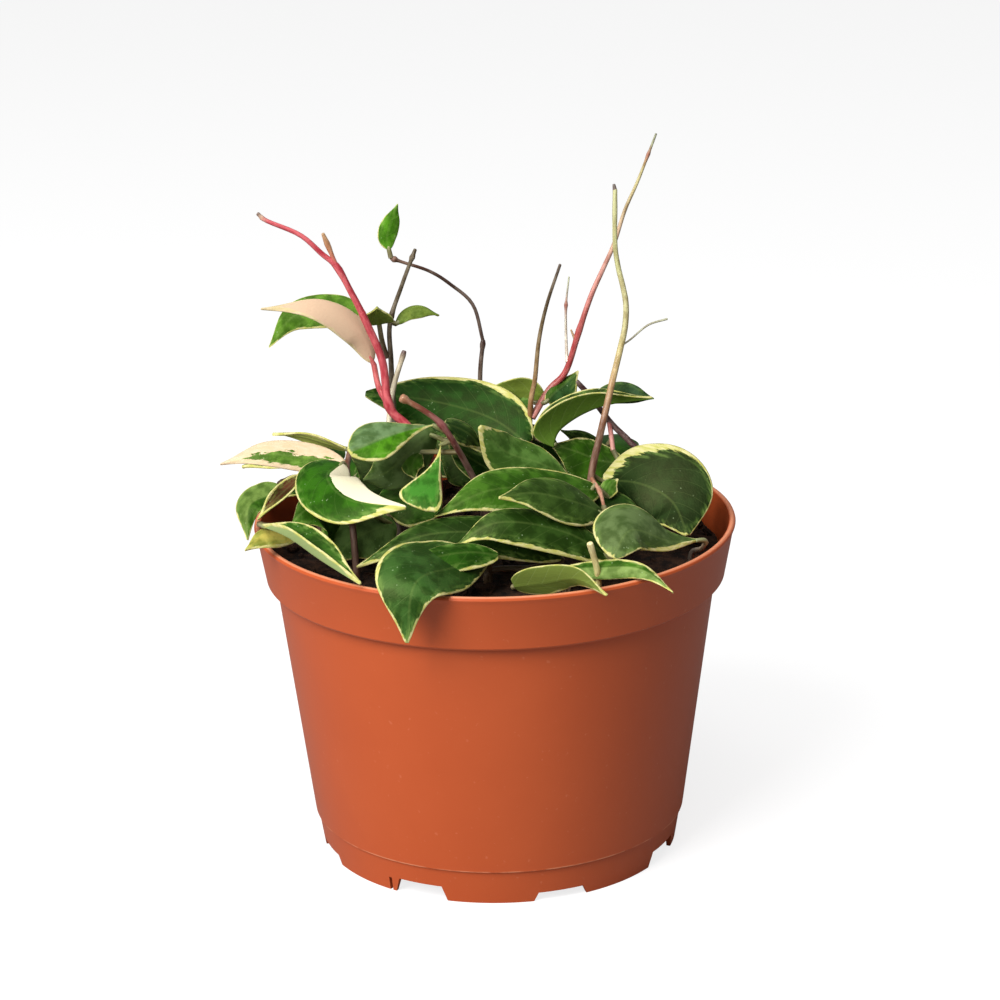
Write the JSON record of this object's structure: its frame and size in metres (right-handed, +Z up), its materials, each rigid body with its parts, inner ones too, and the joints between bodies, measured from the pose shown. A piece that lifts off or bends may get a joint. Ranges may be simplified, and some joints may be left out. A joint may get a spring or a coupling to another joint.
{
  "type": "potted hoya plant",
  "caption": "Young variegated hoya with waxy cream-edged leaves and long bare shoots in a round terracotta-coloured plastic nursery pot.",
  "frame": {"origin": "middle of the whole plant's footprint, at the foot of the pot", "axes": "+Z up along the plant; -Y is the front, the side the picture shows"},
  "size_m": [0.1654, 0.1702, 0.2311],
  "materials": {
    "pot_plastic": "satin",
    "soil": "matte",
    "leaf_green": "waxy satin",
    "crimson_shoot": "satin",
    "olive_shoot": "satin",
    "cream_shoot": "satin"
  },
  "bodies": {
    "root": {"pot": "pot_plastic", "soil": "soil", "leader_crimson": "crimson_shoot", "stem_dark": "leaf_green", "stem_arching": "olive_shoot", "stub_cream": "cream_shoot", "stem_bulb_end": "leaf_green", "stem_long_pink": "leaf_green", "stem_curved_pale": "leaf_green", "stem_low_left": "leaf_green", "vine_front_right": "leaf_green", "vine_front_left": "leaf_green", "vine_left_rim": "leaf_green", "vine_right_rim": "leaf_green", "vine_back_left": "leaf_green", "vine_back_middle": "leaf_green", "vine_back_right": "leaf_green"}
  },
  "joints": []
}
